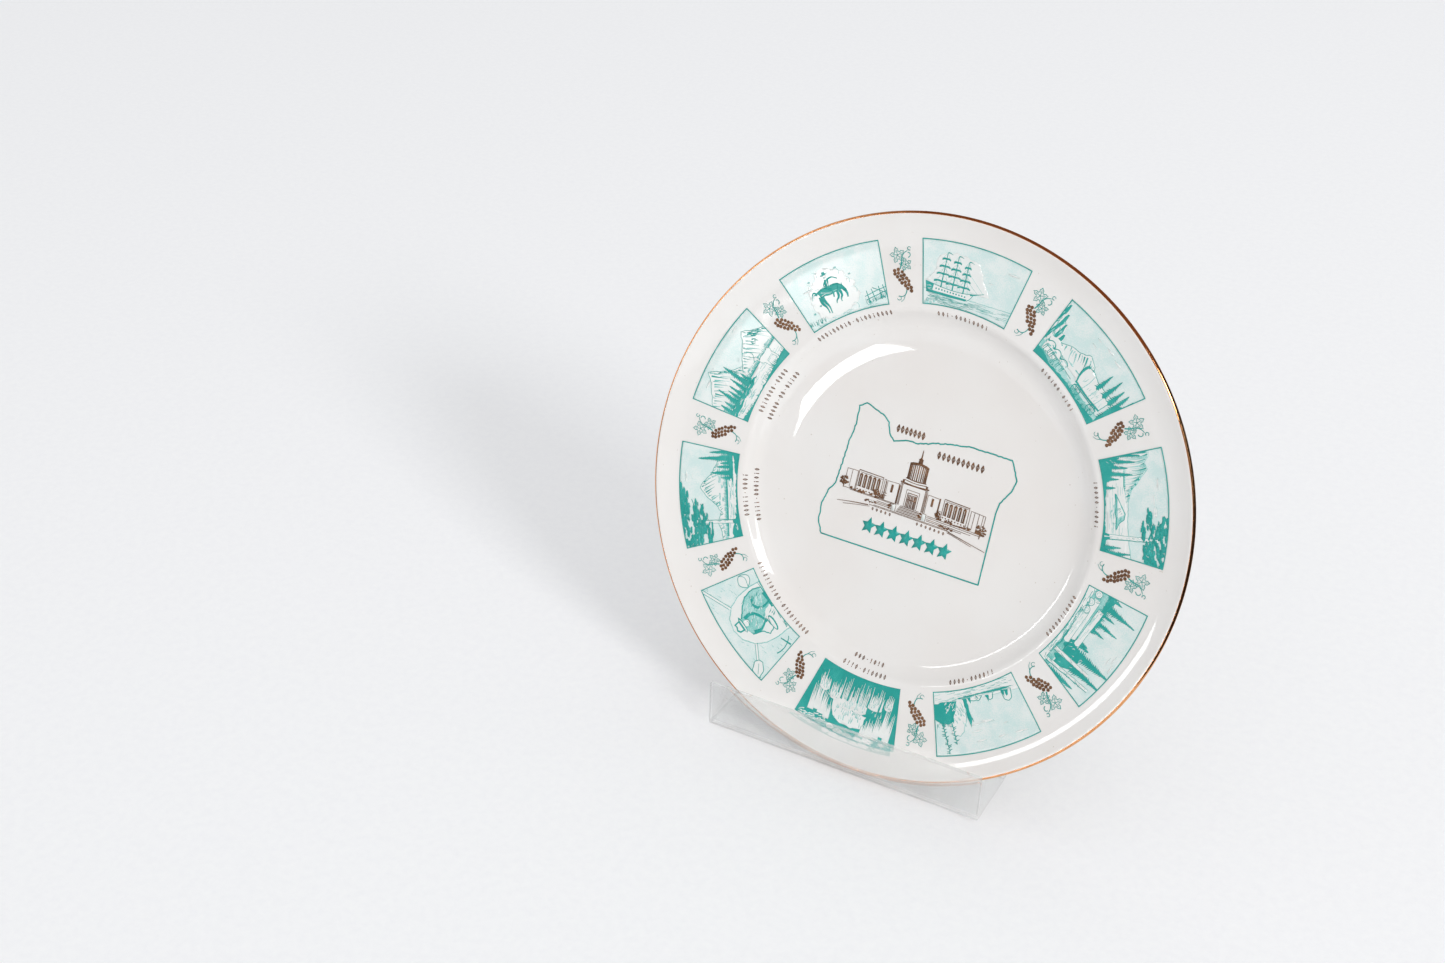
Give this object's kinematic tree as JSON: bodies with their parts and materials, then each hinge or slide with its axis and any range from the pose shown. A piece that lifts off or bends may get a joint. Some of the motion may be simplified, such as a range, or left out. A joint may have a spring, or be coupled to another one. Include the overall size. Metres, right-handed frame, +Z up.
{
  "type": "souvenir plate",
  "caption": "Round decorated china plate with a gilded edge and printed rim pictures, held leaning back in a clear bent-sheet display stand.",
  "frame": {"origin": "bottom centre of the whole: under the plate's axis, halfway through the depth, on the plane the stand rests on", "axes": "+Z up, -Y towards the side the plate faces, +X to the right of a viewer facing the plate"},
  "size_m": [0.235, 0.0868, 0.2226],
  "materials": {
    "glazed_china": "clear gloss glaze over ivory white china",
    "gold_lustre": "bright gold line, lightly rubbed",
    "clear_acrylic": "clear cast acrylic sheet with flame-polished edges",
    "teal_print": "teal print fired under a gloss",
    "teal_tint_print": "pale teal tint fired under a gloss",
    "gold_brown_print": "satin gold-brown lustre print"
  },
  "bodies": {
    "stand": {"acrylic_stand": "clear_acrylic"},
    "plate": {"china_plate": "glazed_china", "gold_rim_band": "gold_lustre", "region_outline": "teal_print", "domed_building": "gold_brown_print", "star_row": "teal_print", "upper_ornament": "gold_brown_print", "lower_ornament": "gold_brown_print", "vignette_rider": "teal_tint_print", "vignette_ship": "teal_tint_print", "vignette_wagon": "teal_tint_print", "vignette_lake": "teal_tint_print", "vignette_timber": "teal_tint_print", "vignette_coast": "teal_tint_print", "vignette_cave": "teal_tint_print", "vignette_prospector": "teal_tint_print", "vignette_snow_peak": "teal_tint_print", "vignette_mountains": "teal_tint_print", "caption_rider": "gold_brown_print", "caption_ship": "gold_brown_print", "caption_wagon": "gold_brown_print", "caption_lake": "gold_brown_print", "caption_timber": "gold_brown_print", "caption_coast": "gold_brown_print", "caption_cave": "gold_brown_print", "caption_prospector": "gold_brown_print", "caption_snow_peak": "gold_brown_print", "caption_mountains": "gold_brown_print", "grape_bunch_rider": "gold_brown_print", "grape_bunch_ship": "gold_brown_print", "grape_bunch_wagon": "gold_brown_print", "grape_bunch_lake": "gold_brown_print", "grape_bunch_timber": "gold_brown_print", "grape_bunch_coast": "gold_brown_print", "grape_bunch_cave": "gold_brown_print", "grape_bunch_prospector": "gold_brown_print", "grape_bunch_snow_peak": "gold_brown_print", "grape_bunch_mountains": "gold_brown_print", "vine_leaves_rider": "teal_print", "vine_leaves_ship": "teal_print", "vine_leaves_wagon": "teal_print", "vine_leaves_lake": "teal_print", "vine_leaves_timber": "teal_print", "vine_leaves_coast": "teal_print", "vine_leaves_cave": "teal_print", "vine_leaves_prospector": "teal_print", "vine_leaves_snow_peak": "teal_print", "vine_leaves_mountains": "teal_print"}
  },
  "joints": [
    {"name": "plate_lift", "type": "slide", "parent": "stand", "child": "plate", "axis": [0, 0.3502, 0.9367], "range_m": [0, 0.12]}
  ]
}
